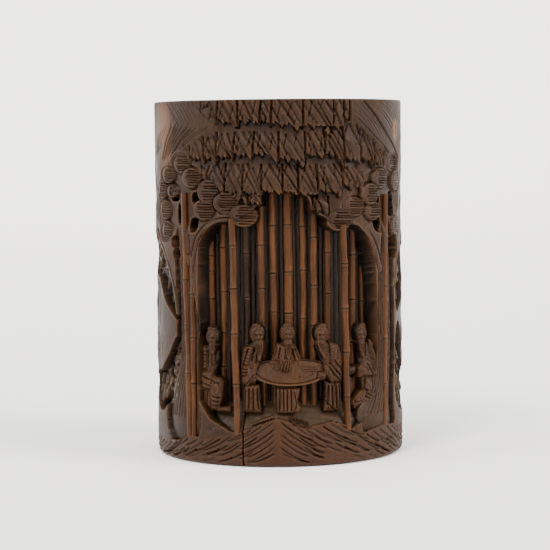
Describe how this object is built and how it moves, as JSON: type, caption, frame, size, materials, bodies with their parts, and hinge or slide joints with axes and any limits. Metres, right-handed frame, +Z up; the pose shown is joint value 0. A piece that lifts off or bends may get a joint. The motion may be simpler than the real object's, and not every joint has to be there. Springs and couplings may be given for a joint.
{
  "type": "brush pot",
  "caption": "Cylindrical bamboo brush pot for calligraphy brushes, carved in openwork with a grove scene, open at the top.",
  "frame": {"origin": "centre of the resting face, on the axis of the pot", "axes": "+Z up along the pot's axis, -Y out of the front where the scholars sit"},
  "size_m": [0.1064, 0.1064, 0.15],
  "materials": {
    "carved_bamboo": "satin, aged brown bamboo rind",
    "stalk_bamboo": "satin, warm brown carved stalks",
    "figure_bamboo": "satin, carved figures",
    "mountain_bamboo": "satin, reddish brown",
    "rock_bamboo": "matt, greyed carving",
    "bore_bamboo": "matt, dark inner wall"
  },
  "bodies": {
    "root": {"back_stalk_01": "stalk_bamboo", "back_stalk_02": "stalk_bamboo", "back_stalk_03": "stalk_bamboo", "back_stalk_04": "stalk_bamboo", "back_stalk_05": "stalk_bamboo", "back_stalk_06": "stalk_bamboo", "back_stalk_07": "stalk_bamboo", "back_stalk_08": "stalk_bamboo", "base_disc": "bore_bamboo", "bore_wall": "bore_bamboo", "canopy_crown": "carved_bamboo", "cliff_left": "carved_bamboo", "cliff_left_rock_1": "rock_bamboo", "cliff_left_rock_2": "rock_bamboo", "cliff_left_rock_3": "rock_bamboo", "cliff_right": "carved_bamboo", "cliff_right_rock_1": "rock_bamboo", "cliff_right_rock_2": "rock_bamboo", "cliff_right_rock_3": "rock_bamboo", "front_stalk_left": "stalk_bamboo", "front_stalk_right": "stalk_bamboo", "ground_ledge": "mountain_bamboo", "grove_stalk_01": "stalk_bamboo", "grove_stalk_02": "stalk_bamboo", "grove_stalk_03": "stalk_bamboo", "grove_stalk_04": "stalk_bamboo", "grove_stalk_05": "stalk_bamboo", "grove_stalk_06": "stalk_bamboo", "grove_stalk_07": "stalk_bamboo", "grove_stalk_08": "stalk_bamboo", "grove_stalk_09": "stalk_bamboo", "grove_stalk_10": "stalk_bamboo", "grove_stalk_11": "stalk_bamboo", "grove_stalk_12": "stalk_bamboo", "leaf_tier_lower": "carved_bamboo", "leaf_tier_upper": "carved_bamboo", "mountain_band": "mountain_bamboo", "pine_foliage_left": "carved_bamboo", "pine_foliage_right": "carved_bamboo", "pine_trunk_back_left": "carved_bamboo", "pine_trunk_back_right": "carved_bamboo", "pine_trunk_front_left": "carved_bamboo", "pine_trunk_front_right": "carved_bamboo", "scholar_centre": "figure_bamboo", "scholar_far_left": "figure_bamboo", "scholar_far_right": "figure_bamboo", "scholar_near_left": "figure_bamboo", "scholar_near_right": "figure_bamboo", "slender_stalk_inner_left": "stalk_bamboo", "slender_stalk_left": "stalk_bamboo", "slender_stalk_right": "stalk_bamboo", "table_pedestal": "figure_bamboo", "table_top": "figure_bamboo"}
  },
  "joints": []
}
